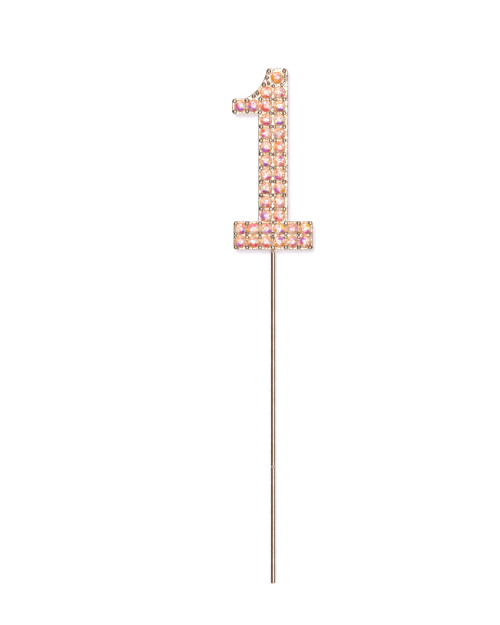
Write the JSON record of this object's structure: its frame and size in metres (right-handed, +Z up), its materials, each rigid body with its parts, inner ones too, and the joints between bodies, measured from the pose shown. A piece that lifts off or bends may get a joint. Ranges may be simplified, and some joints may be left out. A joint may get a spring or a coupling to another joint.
{
  "type": "number cake topper",
  "caption": "Rose-gold numeral one on a slim round stem, its face paved with faceted crystals and cast beads, pushed into a cake as a birthday decoration.",
  "frame": {"origin": "centre of the stem's lower tip", "axes": "+Z up along the stem towards the numeral, +X to the numeral's right as it is read, the decorated front faces -Y"},
  "size_m": [0.0202, 0.0038, 0.128],
  "materials": {
    "rose_gold_casting": "polished",
    "rose_gold_stem": "polished",
    "plated_solder": "satin",
    "clear_adhesive": "gloss",
    "crystal_ab": "gloss"
  },
  "bodies": {
    "root": {"number_plate": "rose_gold_casting", "stem_rod": "rose_gold_stem", "solder_joint": "plated_solder", "adhesive_dots": "clear_adhesive", "crystal_tip": "crystal_ab", "crystal_flag_1": "crystal_ab", "crystal_flag_2": "crystal_ab", "crystal_column_left_01": "crystal_ab", "crystal_column_left_02": "crystal_ab", "crystal_column_left_03": "crystal_ab", "crystal_column_left_04": "crystal_ab", "crystal_column_left_05": "crystal_ab", "crystal_column_left_06": "crystal_ab", "crystal_column_left_07": "crystal_ab", "crystal_column_left_08": "crystal_ab", "crystal_column_left_09": "crystal_ab", "crystal_column_left_10": "crystal_ab", "crystal_column_right_01": "crystal_ab", "crystal_column_right_02": "crystal_ab", "crystal_column_right_03": "crystal_ab", "crystal_column_right_04": "crystal_ab", "crystal_column_right_05": "crystal_ab", "crystal_column_right_06": "crystal_ab", "crystal_column_right_07": "crystal_ab", "crystal_column_right_08": "crystal_ab", "crystal_column_right_09": "crystal_ab", "crystal_column_right_10": "crystal_ab", "crystal_base_lower_1": "crystal_ab", "crystal_base_lower_2": "crystal_ab", "crystal_base_lower_3": "crystal_ab", "crystal_base_lower_4": "crystal_ab", "crystal_base_lower_5": "crystal_ab", "crystal_base_lower_6": "crystal_ab", "crystal_base_upper_1": "crystal_ab", "crystal_base_upper_2": "crystal_ab", "crystal_base_upper_3": "crystal_ab", "crystal_base_upper_4": "crystal_ab", "crystal_base_upper_5": "crystal_ab", "crystal_base_upper_6": "crystal_ab"}
  },
  "joints": []
}
